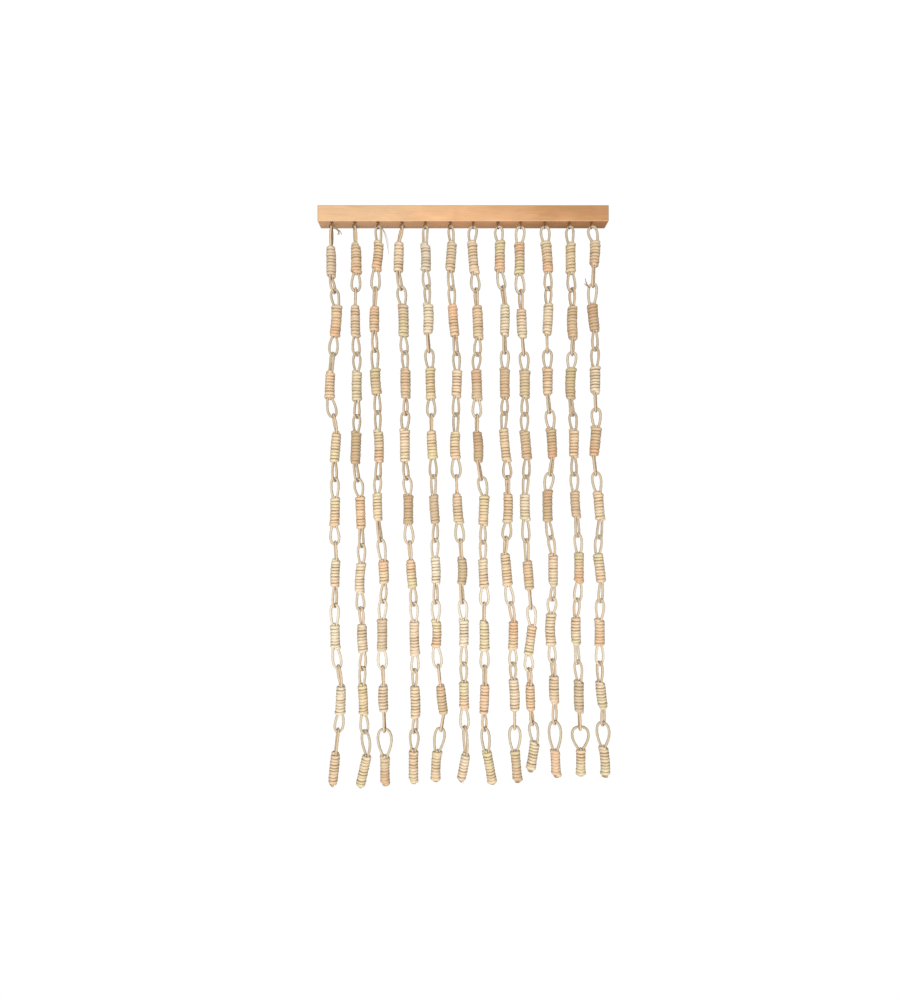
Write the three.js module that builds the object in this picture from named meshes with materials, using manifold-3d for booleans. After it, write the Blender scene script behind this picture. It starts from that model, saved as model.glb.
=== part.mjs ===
// Door curtain: twelve chains of wrapped cord links hang from screw eyes under a wooden bar.
// Millimetres, +Z up, -Y towards the viewer. The origin is the middle of the bar's back face.
import * as THREE from "three";
import { mergeVertices } from "three/addons/utils/BufferGeometryUtils.js";
import loadManifold from "manifold-3d";

const wasm = await loadManifold();
wasm.setup();

// Bar
const BAR_LENGTH = 908;
const BAR_SIDE = 50;
const BAR_EASE = 2;

// Screw eyes, in a row a little behind the bar's front edge
const HOOK_SETBACK = 7;
const WIRE_RADIUS = 1.4;
const EYE_INNER_RADIUS = 5.9;
const EYE_STEPS = 9;
const EYE_SIDES = 4;
const SHANK_LENGTH = 15;
const SHANK_SIDES = 5;
const COLLAR_RADIUS = 5.2;
const COLLAR_THICKNESS = 2.2;
const COLLAR_SIDES = 5;
const CLEARANCE = 0.3;

// Links
const LINKS = 9;
const CORD_HALF = 3.7;
const COIL_RADIUS = 15.4;
const ROOT_RADIUS = 9.4;
const SHOULDER = 5;
const LOOP_WIDTH = 34;
const WIDEST_AT = 0.62;
const CROWN_SHARE = 0.58;
const CROSSING = 2.9;
const JOINT_AT = 0.5;
const LAST_JOINT_AT = 0.42;

// Heights, down from the middle of the bar
const FIRST_CROWN_DROP = 37;
const FIRST_COIL_DROP = 91;
const LINK_PITCH = 195.6;

// Gentle sway in depth: its reach, and its steps in radians from one coil end or strand to the next
const DEPTH_SWAY = 3;
const SWAY_PER_END = 2.1;
const SWAY_PER_STRAND = 1.7;

// One row for each strand, left to right:
// hook   place of the screw eye along the bar
// mouth  outer width of the last link's loop
// head   sideways place of the nine coil tops, from the hook
// foot   sideways place of the nine coil bottoms, from the hook
// lower  how far each coil top hangs below its even row
// coil   length of each coil
// turn   degrees that each joint is turned, from the eye down: at 0 the upper cord's loop faces the
//        front and the loop hung in it is seen from its edge, at 90 the other way round
const STRANDS = [
  { hook: -411, mouth: 34,
    head: [-2, 16, -3, 16, 11, 14, 9, 30, 12],
    foot: [-2, 9, -5, 8, 8, 11, 11, 27, 2],
    lower: [12, 1, 9, 4, 11, 9, 17, 11, 29],
    coil: [93, 97, 88, 94, 94, 88, 78, 91, 104],
    turn: [8, 78, 45, 8, 72, 17, 77, 22, 20] },
  { hook: -339, mouth: 47,
    head: [3, 2, 8, 5, 17, 22, 23, 23, 39],
    foot: [5, 3, 8, 2, 20, 16, 27, 27, 16],
    lower: [3, 0, 8, 1, 8, 19, 17, 9, 34],
    coil: [94, 98, 97, 103, 104, 98, 90, 98, 103],
    turn: [15, 10, 50, 58, 65, 64, 33, 60, 40] },
  { hook: -266, mouth: 52,
    head: [3, -11, -9, 0, -3, 16, 12, 17, 22],
    foot: [-6, -11, -3, 2, 0, 19, 12, 19, 22],
    lower: [-5, 1, 1, -3, -1, 12, 0, 12, 36],
    coil: [92, 82, 82, 102, 86, 76, 98, 84, 98],
    turn: [58, 22, 68, 50, 50, 72, 66, 12, 84] },
  { hook: -191, mouth: 40,
    head: [-9, 3, 11, 9, 20, 27, 39, 39, 36],
    foot: [-12, 5, 12, 9, 20, 34, 41, 42, 36],
    lower: [-2, -4, 0, -7, 2, 12, 5, 15, 19],
    coil: [92, 102, 95, 105, 97, 88, 110, 98, 107],
    turn: [15, 65, 45, 75, 62, 12, 60, 30, 60] },
  { hook: -118, mouth: 39,
    head: [-1, 8, 15, 19, 26, 29, 33, 47, 37],
    foot: [1, 7, 18, 24, 32, 32, 33, 57, 32],
    lower: [1, -7, -3, 0, 2, 2, 4, 11, 21],
    coil: [85, 96, 102, 88, 94, 86, 86, 93, 97],
    turn: [45, 40, 82, 12, 40, 58, 63, 5, 80] },
  { hook: -40, mouth: 34,
    head: [6, 7, 21, 17, 21, 35, 42, 42, 49],
    foot: [-1, 15, 18, 17, 27, 34, 42, 43, 32],
    lower: [-4, -2, 6, 3, 1, 4, 1, 0, 29],
    coil: [94, 99, 85, 85, 94, 87, 86, 88, 90],
    turn: [30, 50, 55, 40, 13, 15, 72, 42, 20] },
  { hook: 31, mouth: 33,
    head: [-3, 12, 9, 12, 36, 31, 34, 37, 42],
    foot: [5, 16, 12, 16, 31, 36, 36, 33, 62],
    lower: [-4, -1, 4, 2, 5, 8, 4, 9, 21],
    coil: [101, 106, 96, 96, 96, 92, 95, 92, 108],
    turn: [78, 15, 47, 5, 72, 48, 6, 26, 70] },
  { hook: 109, mouth: 42,
    head: [6, 22, 22, 17, 31, 22, 48, 47, 53],
    foot: [6, 20, 22, 28, 30, 31, 47, 52, 62],
    lower: [-4, -5, -2, -8, -3, -9, 6, -9, 22],
    coil: [92, 101, 97, 105, 95, 104, 92, 101, 100],
    turn: [55, 15, 65, 45, 20, 12, 22, 28, 84] },
  { hook: 180, mouth: 34,
    head: [-4, 2, 13, 12, 13, 20, 37, 29, 45],
    foot: [-4, 6, 12, 20, 15, 27, 24, 32, 29],
    lower: [0, 10, 4, -2, 2, 14, 21, 7, -7],
    coil: [99, 91, 90, 92, 83, 91, 94, 86, 95],
    turn: [90, 12, 78, 45, 35, 22, 68, 12, 80] },
  { hook: 255, mouth: 45,
    head: [4, 12, 9, 20, 9, 26, 21, 29, 32],
    foot: [10, 7, 10, 24, 10, 27, 21, 31, 37],
    lower: [-3, -4, -2, -9, -11, -7, -19, -17, 17],
    coil: [96, 95, 86, 96, 99, 101, 103, 86, 90],
    turn: [80, 25, 73, 66, 65, 33, 58, 22, 60] },
  { hook: 332, mouth: 58,
    head: [3, 11, 6, 14, 17, 30, 20, 31, 36],
    foot: [5, 11, 5, 14, 22, 30, 22, 31, 36],
    lower: [1, 0, -1, -5, -9, -11, -6, -3, 16],
    coil: [94, 105, 98, 89, 86, 95, 87, 101, 87],
    turn: [50, 15, 74, 48, 45, 48, 18, 45, 84] },
  { hook: 400, mouth: 47,
    head: [13, 2, 13, 17, 21, 21, 26, 27, 38],
    foot: [9, 12, 12, 9, 29, 31, 27, 37, 43],
    lower: [-4, -5, -6, -15, -6, -8, 0, -1, 8],
    coil: [76, 86, 86, 94, 91, 92, 84, 84, 97],
    turn: [68, 66, 45, 68, 70, 33, 45, 20, 55] },
];

const UP = new THREE.Vector3(0, 0, 1);
const QUARTER_TURN = 90;
const COIL_SIDES = 6;
const SIDE_ANGLE = (2 * Math.PI) / COIL_SIDES;
const MERGE_DISTANCE = 1e-4;
const HOOK_Y = HOOK_SETBACK - BAR_SIDE;
const UNDERSIDE = -BAR_SIDE / 2;
const FIRST_CROWN_Z = -FIRST_CROWN_DROP - CORD_HALF;

// Solids that are joined or cut

function toSolid(geometry) {
  geometry.deleteAttribute("normal");
  geometry.deleteAttribute("uv");
  const merged = mergeVertices(geometry, MERGE_DISTANCE);
  const vertProperties = new Float32Array(merged.attributes.position.array);
  const triVerts = new Uint32Array(merged.index.array);
  return new wasm.Manifold(new wasm.Mesh({ numProp: 3, vertProperties, triVerts }));
}

function toGeometry(solid) {
  const mesh = solid.getMesh();
  const geometry = new THREE.BufferGeometry();
  geometry.setAttribute("position", new THREE.Float32BufferAttribute(mesh.vertProperties, 3));
  geometry.setIndex(Array.from(mesh.triVerts));
  geometry.computeVertexNormals();
  return geometry;
}

// Wooden bar with a pilot hole for each shank

function upright(geometry, x, y, z) {
  return geometry.rotateX(Math.PI / 2).translate(x, y, z);
}

function makeBar() {
  const half = BAR_SIDE / 2 - BAR_EASE;
  const section = new THREE.Shape();
  section.moveTo(-half, -half);
  section.lineTo(half, -half);
  section.lineTo(half, half);
  section.lineTo(-half, half);
  section.closePath();
  const stick = new THREE.ExtrudeGeometry(section, {
    depth: BAR_LENGTH - 2 * BAR_EASE,
    bevelSize: BAR_EASE,
    bevelThickness: BAR_EASE,
    bevelSegments: 1,
  });
  stick.translate(0, 0, BAR_EASE - BAR_LENGTH / 2);
  stick.rotateY(Math.PI / 2);
  stick.translate(0, -BAR_SIDE / 2, 0);
  let bar = toSolid(stick);
  const depth = SHANK_LENGTH + CLEARANCE;
  const radius = WIRE_RADIUS + CLEARANCE;
  for (const { hook } of STRANDS) {
    const drill = new THREE.CylinderGeometry(radius, radius, 2 * depth, SHANK_SIDES);
    bar = bar.subtract(toSolid(upright(drill, hook, HOOK_Y, UNDERSIDE)));
  }
  return toGeometry(bar);
}

// Screw eye: a straight shank into the bar, a collar under the wood and a ring square to the hung loop

function eyeCentre() {
  const clear = EYE_INNER_RADIUS * Math.cos(Math.PI / EYE_STEPS) - CLEARANCE;
  const rest = Math.sqrt(clear ** 2 - CORD_HALF ** 2);
  return FIRST_CROWN_Z - CORD_HALF + rest;
}

function makeHook(row) {
  const middle = eyeCentre();
  const ringRadius = EYE_INNER_RADIUS + WIRE_RADIUS;
  const ring = new THREE.TorusGeometry(ringRadius, WIRE_RADIUS, EYE_SIDES, EYE_STEPS);
  ring.rotateX(Math.PI / 2);
  ring.rotateZ(THREE.MathUtils.degToRad(row.turn[0]));
  ring.translate(row.hook, HOOK_Y, middle);
  const top = UNDERSIDE + SHANK_LENGTH;
  const bottom = middle + ringRadius;
  const shank = new THREE.CylinderGeometry(WIRE_RADIUS, WIRE_RADIUS, top - bottom, SHANK_SIDES);
  upright(shank, row.hook, HOOK_Y, (top + bottom) / 2);
  const collar = new THREE.CylinderGeometry(COLLAR_RADIUS, COLLAR_RADIUS, COLLAR_THICKNESS, COLLAR_SIDES);
  upright(collar, row.hook, HOOK_Y, UNDERSIDE - CLEARANCE - COLLAR_THICKNESS / 2);
  return toGeometry(toSolid(ring).add(toSolid(shank)).add(toSolid(collar)));
}

// Where a strand's coils and joints hang

function hang(row, index) {
  const sway = (end) => HOOK_Y + DEPTH_SWAY * Math.sin(SWAY_PER_END * end + SWAY_PER_STRAND * index);
  const links = [];
  for (let i = 0; i < LINKS; i += 1) {
    const z = -FIRST_COIL_DROP - LINK_PITCH * i - row.lower[i];
    links.push({
      head: new THREE.Vector3(row.hook + row.head[i], sway(2 * i), z),
      foot: new THREE.Vector3(row.hook + row.foot[i], sway(2 * i + 1), z - row.coil[i]),
    });
  }
  const joints = [new THREE.Vector3(row.hook, HOOK_Y, FIRST_CROWN_Z - CROSSING)];
  for (let i = 1; i < LINKS; i += 1) {
    const share = i === LINKS - 1 ? LAST_JOINT_AT : JOINT_AT;
    joints.push(links[i - 1].foot.clone().lerp(links[i].head, share));
  }
  return { links, joints };
}

// One link: a six-sided coil whose ends split into the two legs of a four-sided loop

function facing(degrees, along) {
  const angle = THREE.MathUtils.degToRad(degrees);
  const width = new THREE.Vector3(Math.cos(angle), Math.sin(angle), 0);
  return width.cross(along).normalize();
}

class LinkMesh {
  constructor() {
    this.points = [];
    this.faces = [];
  }

  ring(points) {
    const first = this.points.length;
    this.points.push(...points);
    return points.map((_, i) => first + i);
  }

  hexagon(centre, axis, normal, radius) {
    const points = [];
    for (let k = 0; k < COIL_SIDES; k += 1) {
      const spoke = normal.clone().projectOnPlane(axis).setLength(radius);
      points.push(spoke.applyAxisAngle(axis, k * SIDE_ANGLE).add(centre));
    }
    return this.ring(points);
  }

  band(lower, upper) {
    for (let i = 0; i < lower.length; i += 1) {
      const j = (i + 1) % lower.length;
      this.faces.push([lower[i], lower[j], upper[j]], [lower[i], upper[j], upper[i]]);
    }
  }

  cap(ring) {
    for (let i = 1; i < ring.length - 1; i += 1) {
      this.faces.push([ring[0], ring[i], ring[i + 1]]);
    }
  }

  // Cord loop from one half of an end ring to the other, by way of its crown
  loop(end, root, crown, normal, width) {
    const along = crown.clone().sub(root);
    const side = along.clone().normalize().cross(normal).normalize();
    const reach = (width - 2 * CORD_HALF) / 2;
    const at = (across, share) =>
      root.clone().addScaledVector(side, across * reach).addScaledVector(along, share);
    const rootAcross = ROOT_RADIUS / 2 / reach;
    const path = [
      at(rootAcross, 0),
      at(1, WIDEST_AT),
      at(CROWN_SHARE, 1),
      at(-CROWN_SHARE, 1),
      at(-1, WIDEST_AT),
      at(-rootAcross, 0),
    ];
    let previous = [end[0], end[1], end[2], end[3]];
    for (let i = 1; i < path.length - 1; i += 1) {
      const before = path[i].clone().sub(path[i - 1]).normalize();
      const after = path[i + 1].clone().sub(path[i]).normalize();
      const inward = normal.clone().cross(before.clone().add(after)).normalize();
      const mitre = CORD_HALF / Math.cos(before.angleTo(after) / 2);
      const corner = (inside, front) =>
        path[i].clone().addScaledVector(inward, inside * mitre).addScaledVector(normal, front * CORD_HALF);
      const section = this.ring([corner(1, 1), corner(-1, 1), corner(-1, -1), corner(1, -1)]);
      this.band(previous, section);
      previous = section;
    }
    this.band(previous, [end[0], end[5], end[4], end[3]]);
  }

  solid() {
    const geometry = new THREE.BufferGeometry().setFromPoints(this.points);
    geometry.setIndex(this.faces.flat());
    return toSolid(geometry);
  }
}

function makeLink({ head, foot }, upper, lower, row, i) {
  const mesh = new LinkMesh();
  const axis = head.clone().sub(foot).normalize();
  const crown = upper.clone().addScaledVector(UP, CROSSING);
  const headNormal = facing(row.turn[i] + QUARTER_TURN, crown.clone().sub(head));
  const shoulder = head.clone().addScaledVector(axis, -SHOULDER);
  const headEnd = mesh.hexagon(head, axis, headNormal, ROOT_RADIUS);
  const headRing = mesh.hexagon(shoulder, axis, headNormal, COIL_RADIUS);
  const last = i === LINKS - 1;
  mesh.band(headRing, headEnd);
  mesh.loop(headEnd, head, crown, headNormal, last ? row.mouth : LOOP_WIDTH);

  const footCrown = last ? foot.clone().sub(axis) : lower.clone().addScaledVector(UP, -CROSSING);
  const footNormal = last ? headNormal : facing(row.turn[i + 1], footCrown.clone().sub(foot));
  const heel = foot.clone().addScaledVector(axis, SHOULDER);
  const footRing = mesh.hexagon(heel, axis, footNormal, COIL_RADIUS);
  const footEnd = mesh.hexagon(foot, axis, footNormal, ROOT_RADIUS);
  mesh.band(footEnd, footRing);
  const downward = footEnd.map((_, k) => footEnd[(COIL_SIDES - k) % COIL_SIDES]);
  if (last) {
    mesh.cap(downward);
  } else {
    mesh.loop(downward, foot, footCrown, footNormal, LOOP_WIDTH);
  }

  // The coil's wall joins the nearest corners, so that it twists by half a side at most
  const footSpoke = mesh.points[footRing[0]].clone().sub(heel);
  const headSpoke = mesh.points[headRing[0]].clone().sub(shoulder);
  const twist = Math.atan2(footSpoke.clone().cross(headSpoke).dot(axis), footSpoke.dot(headSpoke));
  const shift = Math.round(twist / SIDE_ANGLE) + COIL_SIDES;
  mesh.band(footRing.map((_, k) => footRing[(k + shift) % COIL_SIDES]), headRing);
  return mesh.solid();
}

function makeStrand(row, index) {
  const { links, joints } = hang(row, index);
  const solids = links.map((link, i) => makeLink(link, joints[i], joints[i + 1], row, i));
  return toGeometry(solids.reduce((strand, link) => strand.add(link)));
}

// Curtain

const WOOD = { color: 0xdcb48c, roughness: 0.6, metalness: 0 };
const BROWNED_BRASS = { color: 0x6e4a2a, roughness: 0.45, metalness: 0.8 };
const FIBRE = { color: 0xdcc096, roughness: 0.95, metalness: 0 };

const curtain = new THREE.Group();

function addPiece(name, geometry, look) {
  const mesh = new THREE.Mesh(geometry, new THREE.MeshStandardMaterial(look));
  mesh.name = name;
  curtain.add(mesh);
}

addPiece("bar", makeBar(), WOOD);
STRANDS.forEach((row, index) => {
  const number = String(index + 1).padStart(2, "0");
  addPiece(`hook_${number}`, makeHook(row), BROWNED_BRASS);
  addPiece(`strand_${number}`, makeStrand(row, index), FIBRE);
});

export default curtain;
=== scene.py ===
import math

import bpy
import numpy as np
from bpy.props import FloatProperty, FloatVectorProperty, IntProperty, PointerProperty
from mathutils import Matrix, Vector


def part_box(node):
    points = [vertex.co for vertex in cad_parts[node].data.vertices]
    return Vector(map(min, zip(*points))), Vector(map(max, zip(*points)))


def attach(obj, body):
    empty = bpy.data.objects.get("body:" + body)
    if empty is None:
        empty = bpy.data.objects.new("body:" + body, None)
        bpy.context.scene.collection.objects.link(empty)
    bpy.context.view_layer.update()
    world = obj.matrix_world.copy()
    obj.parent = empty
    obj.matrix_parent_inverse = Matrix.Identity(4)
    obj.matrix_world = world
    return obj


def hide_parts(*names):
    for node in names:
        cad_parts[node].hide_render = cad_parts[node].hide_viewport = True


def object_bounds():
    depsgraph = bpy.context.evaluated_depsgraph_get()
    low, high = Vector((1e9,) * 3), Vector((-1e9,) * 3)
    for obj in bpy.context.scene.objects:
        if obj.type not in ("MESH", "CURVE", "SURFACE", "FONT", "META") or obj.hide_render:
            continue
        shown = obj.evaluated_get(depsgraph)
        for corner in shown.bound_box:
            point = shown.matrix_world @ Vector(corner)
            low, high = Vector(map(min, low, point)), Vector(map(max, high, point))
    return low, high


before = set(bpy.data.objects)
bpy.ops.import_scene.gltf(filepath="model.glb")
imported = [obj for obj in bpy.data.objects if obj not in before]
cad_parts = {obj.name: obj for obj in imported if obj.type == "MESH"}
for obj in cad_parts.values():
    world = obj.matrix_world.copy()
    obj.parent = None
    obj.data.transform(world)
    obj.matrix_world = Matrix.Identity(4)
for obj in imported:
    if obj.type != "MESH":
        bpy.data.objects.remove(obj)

bl_info = {
    "name": "Cord Link Door Curtain",
    "version": (1, 0, 0),
    "blender": (4, 5, 0),
    "location": "View3D > Sidebar > Curtain",
    "description": "Dresses a door curtain of wrapped cord links on a wooden bar",
    "category": "Object",
}

CAD_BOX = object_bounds()
MM = 0.001
BAR_LOW, BAR_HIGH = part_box("bar")

# How the strands hang, in metres, down from the middle of the bar
LINKS = 9
HOOK_SETBACK = 0.007
HOOK_Y = BAR_LOW.y + HOOK_SETBACK
FIRST_CROWN_Z = -0.0407
FIRST_COIL_DROP = 0.091
LINK_PITCH = 0.1956
DEPTH_SWAY = 0.003
SWAY_PER_END = 2.1
SWAY_PER_STRAND = 1.7
LAST_JOINT_AT = 0.42
LOOP_WIDTH = 0.034
WIDEST_AT = 0.62

# One row for each strand, left to right, in millimetres and degrees:
# hook   place of the screw eye along the bar
# mouth  outer width of the last link's loop
# head   sideways place of the nine coil tops, from the hook
# foot   sideways place of the nine coil bottoms, from the hook
# lower  how far each coil top hangs below its even row
# coil   length of each coil
# turn   how far each joint is turned, from the eye down: at 0 the upper loop faces the front
STRANDS = (
    {"hook": -411, "mouth": 34,
     "head": (-2, 16, -3, 16, 11, 14, 9, 30, 12),
     "foot": (-2, 9, -5, 8, 8, 11, 11, 27, 2),
     "lower": (12, 1, 9, 4, 11, 9, 17, 11, 29),
     "coil": (93, 97, 88, 94, 94, 88, 78, 91, 104),
     "turn": (8, 78, 45, 8, 72, 17, 77, 22, 20)},
    {"hook": -339, "mouth": 47,
     "head": (3, 2, 8, 5, 17, 22, 23, 23, 39),
     "foot": (5, 3, 8, 2, 20, 16, 27, 27, 16),
     "lower": (3, 0, 8, 1, 8, 19, 17, 9, 34),
     "coil": (94, 98, 97, 103, 104, 98, 90, 98, 103),
     "turn": (15, 10, 50, 58, 65, 64, 33, 60, 40)},
    {"hook": -266, "mouth": 52,
     "head": (3, -11, -9, 0, -3, 16, 12, 17, 22),
     "foot": (-6, -11, -3, 2, 0, 19, 12, 19, 22),
     "lower": (-5, 1, 1, -3, -1, 12, 0, 12, 36),
     "coil": (92, 82, 82, 102, 86, 76, 98, 84, 98),
     "turn": (58, 22, 68, 50, 50, 72, 66, 12, 84)},
    {"hook": -191, "mouth": 40,
     "head": (-9, 3, 11, 9, 20, 27, 39, 39, 36),
     "foot": (-12, 5, 12, 9, 20, 34, 41, 42, 36),
     "lower": (-2, -4, 0, -7, 2, 12, 5, 15, 19),
     "coil": (92, 102, 95, 105, 97, 88, 110, 98, 107),
     "turn": (15, 65, 45, 75, 62, 12, 60, 30, 60)},
    {"hook": -118, "mouth": 39,
     "head": (-1, 8, 15, 19, 26, 29, 33, 47, 37),
     "foot": (1, 7, 18, 24, 32, 32, 33, 57, 32),
     "lower": (1, -7, -3, 0, 2, 2, 4, 11, 21),
     "coil": (85, 96, 102, 88, 94, 86, 86, 93, 97),
     "turn": (45, 40, 82, 12, 40, 58, 63, 5, 80)},
    {"hook": -40, "mouth": 34,
     "head": (6, 7, 21, 17, 21, 35, 42, 42, 49),
     "foot": (-1, 15, 18, 17, 27, 34, 42, 43, 32),
     "lower": (-4, -2, 6, 3, 1, 4, 1, 0, 29),
     "coil": (94, 99, 85, 85, 94, 87, 86, 88, 90),
     "turn": (30, 50, 55, 40, 13, 15, 72, 42, 20)},
    {"hook": 31, "mouth": 33,
     "head": (-3, 12, 9, 12, 36, 31, 34, 37, 42),
     "foot": (5, 16, 12, 16, 31, 36, 36, 33, 62),
     "lower": (-4, -1, 4, 2, 5, 8, 4, 9, 21),
     "coil": (101, 106, 96, 96, 96, 92, 95, 92, 108),
     "turn": (78, 15, 47, 5, 72, 48, 6, 26, 70)},
    {"hook": 109, "mouth": 42,
     "head": (6, 22, 22, 17, 31, 22, 48, 47, 53),
     "foot": (6, 20, 22, 28, 30, 31, 47, 52, 62),
     "lower": (-4, -5, -2, -8, -3, -9, 6, -9, 22),
     "coil": (92, 101, 97, 105, 95, 104, 92, 101, 100),
     "turn": (55, 15, 65, 45, 20, 12, 22, 28, 84)},
    {"hook": 180, "mouth": 34,
     "head": (-4, 2, 13, 12, 13, 20, 37, 29, 45),
     "foot": (-4, 6, 12, 20, 15, 27, 24, 32, 29),
     "lower": (0, 10, 4, -2, 2, 14, 21, 7, -7),
     "coil": (99, 91, 90, 92, 83, 91, 94, 86, 95),
     "turn": (90, 12, 78, 45, 35, 22, 68, 12, 80)},
    {"hook": 255, "mouth": 45,
     "head": (4, 12, 9, 20, 9, 26, 21, 29, 32),
     "foot": (10, 7, 10, 24, 10, 27, 21, 31, 37),
     "lower": (-3, -4, -2, -9, -11, -7, -19, -17, 17),
     "coil": (96, 95, 86, 96, 99, 101, 103, 86, 90),
     "turn": (80, 25, 73, 66, 65, 33, 58, 22, 60)},
    {"hook": 332, "mouth": 58,
     "head": (3, 11, 6, 14, 17, 30, 20, 31, 36),
     "foot": (5, 11, 5, 14, 22, 30, 22, 31, 36),
     "lower": (1, 0, -1, -5, -9, -11, -6, -3, 16),
     "coil": (94, 105, 98, 89, 86, 95, 87, 101, 87),
     "turn": (50, 15, 74, 48, 45, 48, 18, 45, 84)},
    {"hook": 400, "mouth": 47,
     "head": (13, 2, 13, 17, 21, 21, 26, 27, 38),
     "foot": (9, 12, 12, 9, 29, 31, 27, 37, 43),
     "lower": (-4, -5, -6, -15, -6, -8, 0, -1, 8),
     "coil": (76, 86, 86, 94, 91, 92, 84, 84, 97),
     "turn": (68, 66, 45, 68, 70, 33, 45, 20, 55)},
)

# Loose cord ends and stray fibres, in millimetres: the strand's number, half the thickness at the root,
# and the points that each passes, from the strand's hook
LOOSE_ENDS = (
    {"strand": 1, "half": 3.6, "points": ((2, 0, -40), (13, -3, -46), (21, -5, -54), (25, -5, -66))},
    {"strand": 1, "half": 2.6, "points": ((14, -3, -47), (23, -7, -57), (20, -8, -69))},
    {"strand": 1, "half": 2.4, "points": ((17, -4, -50), (28, -7, -58), (32, -6, -67))},
    {"strand": 3, "half": 1.3, "points": ((1, -1, -40), (15, -5, -50), (26, -6, -82), (34, -6, -128))},
    {"strand": 3, "half": 1.1, "points": ((2, -1, -41), (19, -5, -54), (30, -7, -82), (32, -6, -114))},
    {"strand": 2, "half": 1.2, "points": ((13, -8, -746), (19, -10, -752), (24, -9, -752))},
    {"strand": 6, "half": 1.1, "points": ((37, -2, -1758), (40, -4, -1769), (41, -4, -1779))},
    {"strand": 12, "half": 2.9,
     "points": ((-5, 4, -228), (-12, -3, -224), (-17, -6, -215), (-19, -5, -204))},
    {"strand": 12, "half": 2.1, "points": ((-11, -4, -225), (-19, -7, -224), (-22, -7, -219))},
)

# How a loose end tapers, and its warmth, bleach and soil
LOOSE_TAPER = 0.65
LOOSE_TONE = (0.5, 1.8, 0.95)
STEPS_PER_POINT = 6

# Soil, dust and painted shade up to this value don't show on the cord
CLEAN = 0.25

# Half the clearance between two loops that hang in each other
CROSSING_GAP = 0.00005

# Step from one seed's strands to the next seed's
SEED_STEP = 100

# Where the bar's marks begin and where they are full, in from its faces: painted shade with some grime along
# the top front edge, a painted highlight along the lower front edge, painted shade on the underside, and the
# darker ends
EDGE_BAND = (0.0032, 0.0008)
LIT_FOOT_EDGE = (0.004, 0.0015)
UNDERSIDE = (0.0015, 0.0003)
DARKER_END = (0.0035, 0.001)

UP = np.array((0.0, 0.0, 1.0))
FRONT = np.array((0.0, -1.0, 0.0))
FULL_TURN = 2 * math.pi


# What a user would change

def colour_setting(name, description, default):
    return FloatVectorProperty(
        name=name, description=description, subtype="COLOR", size=3, default=default)


def length_setting(name, description, default):
    return FloatProperty(name=name, description=description, default=default, unit="LENGTH")


class CurtainCordSettings(bpy.types.PropertyGroup):
    """Sizes and colours of the cord and its wound links."""

    radius: length_setting("Cord radius", "Half the thickness of the cord in the loops", 0.004)
    coil_radius: length_setting("Coil radius", "Outer radius of the wound middle of a link", 0.0152)
    turn_pitch: length_setting("Turn pitch", "Distance from one wound turn to the next", 0.0096)
    mouth_half: length_setting(
        "Leg spacing", "Half the distance between a loop's legs where they leave the coil", 0.0074)
    tip: length_setting("Tip", "How far the folded cord shows below a strand's last turn", 0.007)
    sides: IntProperty(
        name="Cord sides", description="Sides of the cord's section", default=10)
    steps: IntProperty(
        name="Steps in a turn", description="Steps in each wound turn", default=20)
    fibres: IntProperty(
        name="Stray fibres", description="Loose fibres on each link", default=3)
    seed: IntProperty(
        name="Unevenness", description="Number that sets the uneven winding", default=7)
    tan: colour_setting("Tan", "Main colour of the fibre", (0.622, 0.467, 0.305))
    orange: colour_setting("Orange", "Warm colour of some coils", (0.637, 0.396, 0.238))
    olive: colour_setting("Olive", "Yellow green colour of some coils", (0.587, 0.507, 0.294))
    pale: colour_setting("Pale", "Bleached colour of some coils", (0.655, 0.585, 0.455))
    grey: colour_setting("Grey", "Weathered colour of the loops", (0.455, 0.38, 0.255))
    # The groove colour is the colour of painted shade, with dust and soil, between the turns and on the
    # loops
    groove: colour_setting("Groove", "Dusty colour between the turns", (0.28, 0.186, 0.095))


class CurtainBarSettings(bpy.types.PropertyGroup):
    """Edges and colours of the wooden bar."""

    ease: length_setting("Eased edge", "Width of the rounded edges", 0.002)
    hole: length_setting("Pilot hole", "Radius of the holes for the screw eyes", 0.0022)
    # Light, amber and dark wood run from the left end to the right: partly the wood's own colour, partly
    # painted light that falls off to the right
    light: colour_setting("Light wood", "Pale wood of the left end", (0.58, 0.37, 0.21))
    amber: colour_setting("Amber wood", "Warm wood of the middle", (0.61, 0.35, 0.185))
    dark: colour_setting("Dark wood", "Darker wood towards the right end", (0.43, 0.225, 0.105))
    # The underside tint is painted shade: it makes the underside a little redder and darker in green and
    # blue
    under: colour_setting("Underside", "Tint of the unplaned underside", (1.02, 0.95, 0.95))
    # The worn edge colour is painted shade with some grime along the top front edge, and the colour of the
    # darker ends
    edge: colour_setting("Worn edge", "Greyed wood along the edges", (0.36, 0.28, 0.19))


class CurtainEyeSettings(bpy.types.PropertyGroup):
    """Sizes and colour of the screw eyes."""

    wire: length_setting("Wire radius", "Half the thickness of the wire", 0.0014)
    inner: length_setting("Eye radius", "Inner radius of the eye", 0.0054)
    bend: length_setting("Bend radius", "Radius of the bend from the eye to the shank", 0.003)
    shank: length_setting("Shank", "Length of the shank inside the bar", 0.015)
    collar: length_setting("Collar radius", "Radius of the collar under the wood", 0.0052)
    collar_depth: length_setting("Collar thickness", "Thickness of the collar", 0.0022)
    brown: colour_setting("Browned metal", "Colour of the wire", (0.28, 0.155, 0.08))


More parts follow.
